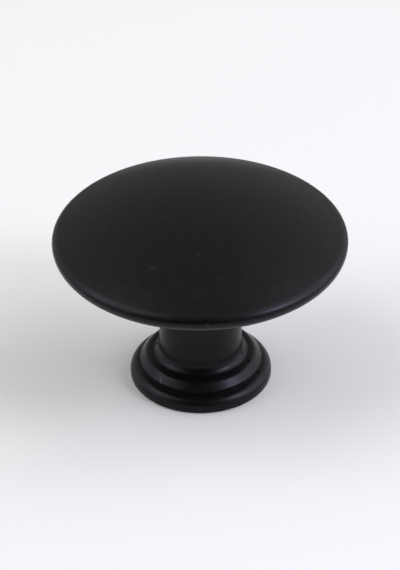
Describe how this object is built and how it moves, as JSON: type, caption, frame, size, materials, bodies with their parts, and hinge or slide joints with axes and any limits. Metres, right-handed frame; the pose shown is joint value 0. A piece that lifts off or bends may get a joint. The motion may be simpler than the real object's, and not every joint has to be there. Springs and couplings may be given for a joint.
{
  "type": "cabinet knob",
  "caption": "Round mushroom cabinet knob in matte black, with a shallow domed head, a slim neck, a stepped round foot and a tapped screw hole in the foot.",
  "frame": {"origin": "centre of the mounting face, on the knob's axis, where the foot meets the drawer front or door", "axes": "+Z along the knob's axis, from the mounting face out to the crown of the head; the knob is round, so +X and +Y are free"},
  "size_m": [0.032, 0.032, 0.0218],
  "materials": {
    "black_coat": "matte black coat on die-cast zinc alloy"
  },
  "bodies": {
    "root": {"knob": "black_coat"}
  },
  "joints": []
}
